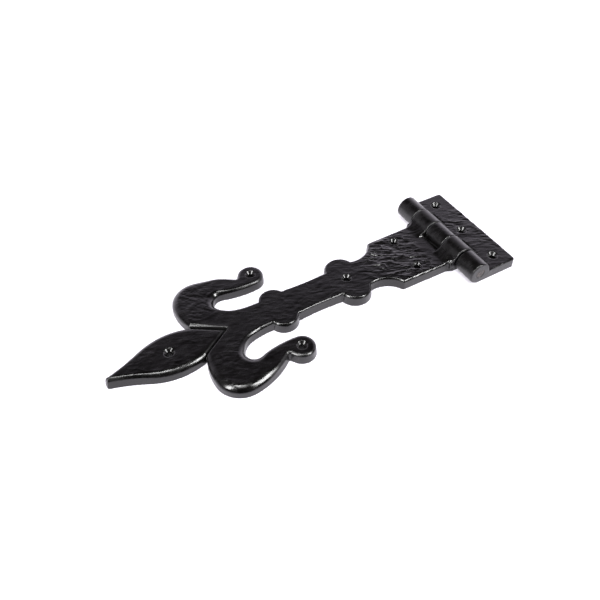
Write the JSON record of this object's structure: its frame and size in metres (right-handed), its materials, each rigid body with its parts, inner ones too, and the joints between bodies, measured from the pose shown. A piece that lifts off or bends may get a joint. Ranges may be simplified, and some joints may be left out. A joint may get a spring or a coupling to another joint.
{
  "type": "strap hinge",
  "caption": "Cast tee strap hinge: rectangular frame plate, round knuckle barrel and pin, and a long lobed strap ending in a fleur-de-lis.",
  "frame": {"origin": "on the back mounting plane, straight behind the middle of the hinge pin's axis", "axes": "+X from the barrel towards the frame plate's free edge, the strap runs along -X; +Y along the hinge pin; +Z out of the face, away from the door"},
  "size_m": [0.3398, 0.1186, 0.0194],
  "materials": {
    "black_iron": "satin black paint over rippled cast iron",
    "pin_steel": "satin black paint over cropped steel rod"
  },
  "bodies": {
    "frame": {"frame_plate": "black_iron", "hinge_pin": "pin_steel"},
    "strap": {"strap_leaf": "black_iron"}
  },
  "joints": [
    {"name": "strap_swing", "type": "hinge", "parent": "frame", "child": "strap", "pos_m": [0, 0, 0.0097], "axis": [0, 1, 0], "range_deg": [-85, 180]}
  ]
}
